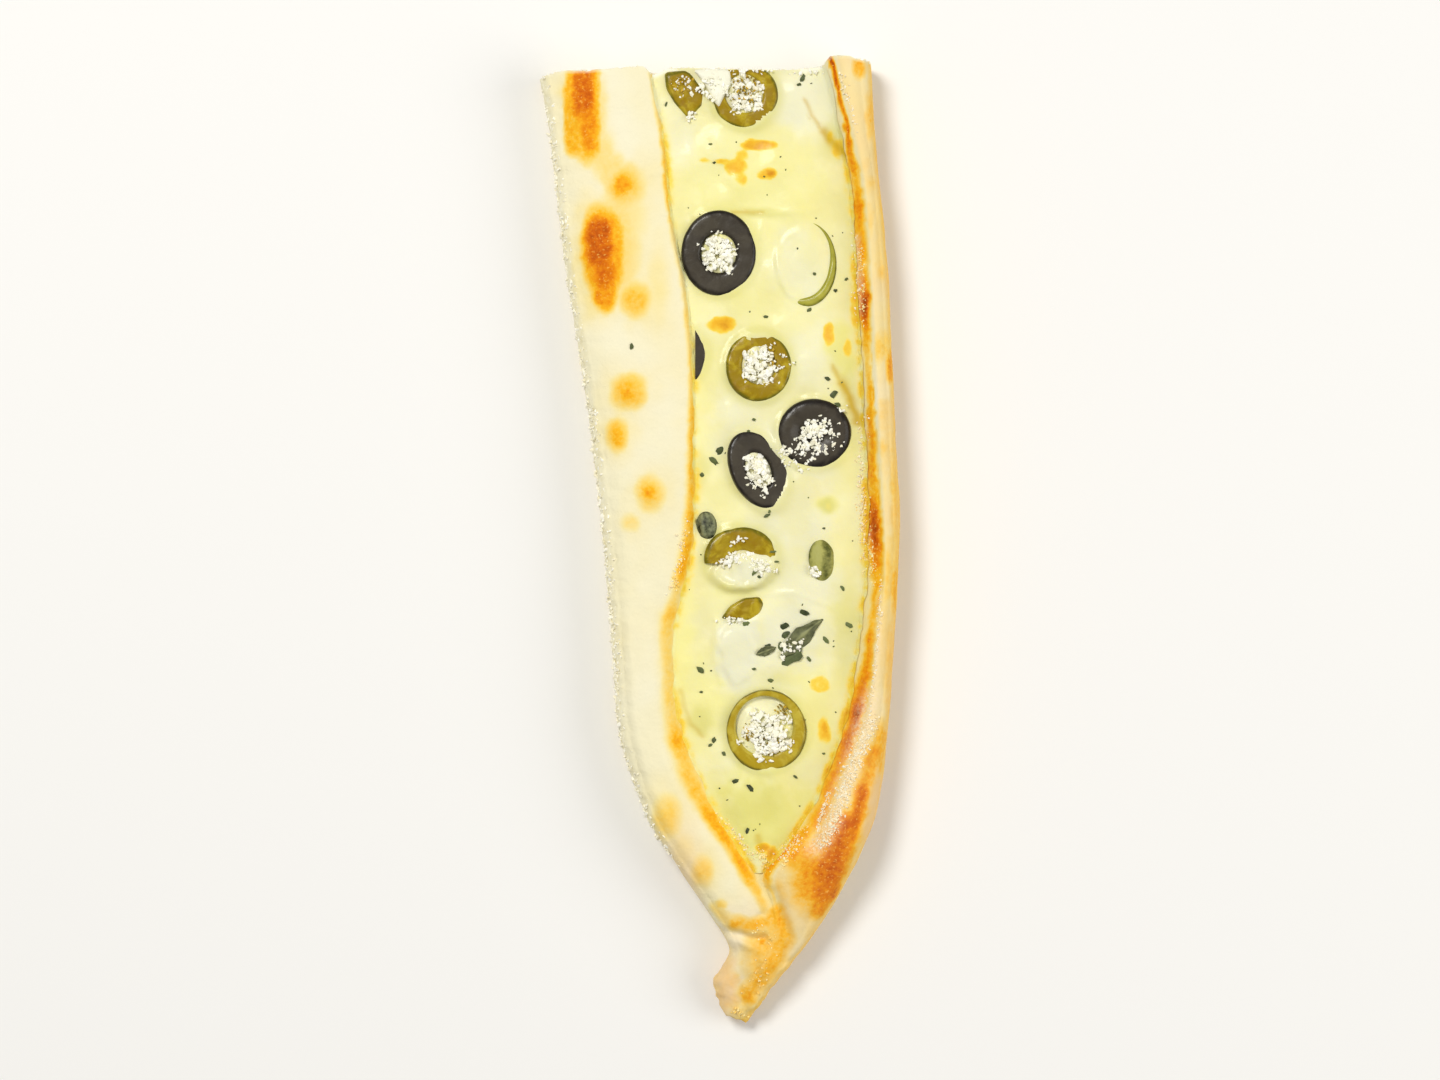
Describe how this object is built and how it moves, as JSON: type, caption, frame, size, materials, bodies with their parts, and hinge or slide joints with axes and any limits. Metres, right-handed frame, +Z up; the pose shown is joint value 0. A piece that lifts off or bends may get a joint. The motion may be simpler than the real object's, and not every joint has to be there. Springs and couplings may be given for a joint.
{
  "type": "labneh and olive pie half",
  "caption": "Half of a boat-shaped flatbread filled with soft white cheese, olive slices and herbs, cut straight across at one end and twisted to a point at the other.",
  "frame": {"origin": "bottom centre of the bounding box, on the surface that the pie lies on", "axes": "+Y along the pie towards the cut end, +X across towards the narrow rim, +Z up"},
  "size_m": [0.0864, 0.231, 0.0191],
  "materials": {
    "baked_dough": "pale baked dough, floury, with toasted golden to orange-brown blisters",
    "labneh": "soft melted white cheese, moist, with a faint yellow-green tint of oil",
    "black_olive": "moist black olive flesh and skin",
    "green_olive": "moist golden green olive flesh and skin",
    "herb": "baked grey-green herb leaf"
  },
  "bodies": {
    "root": {"crust": "baked_dough", "labneh_filling": "labneh", "green_olive_wedge": "green_olive", "green_olive_ring_cut_end": "green_olive", "black_olive_ring": "black_olive", "green_olive_sliver": "green_olive", "black_olive_half_moon": "black_olive", "green_olive_ring_middle": "green_olive", "black_olive_slice_right": "black_olive", "black_olive_slice_left": "black_olive", "caper": "black_olive", "green_olive_half": "green_olive", "herb_bud": "herb", "green_olive_chip": "green_olive", "herb_leaf_long": "herb", "herb_leaf_short": "herb", "green_olive_ring_low": "green_olive"}
  },
  "joints": []
}
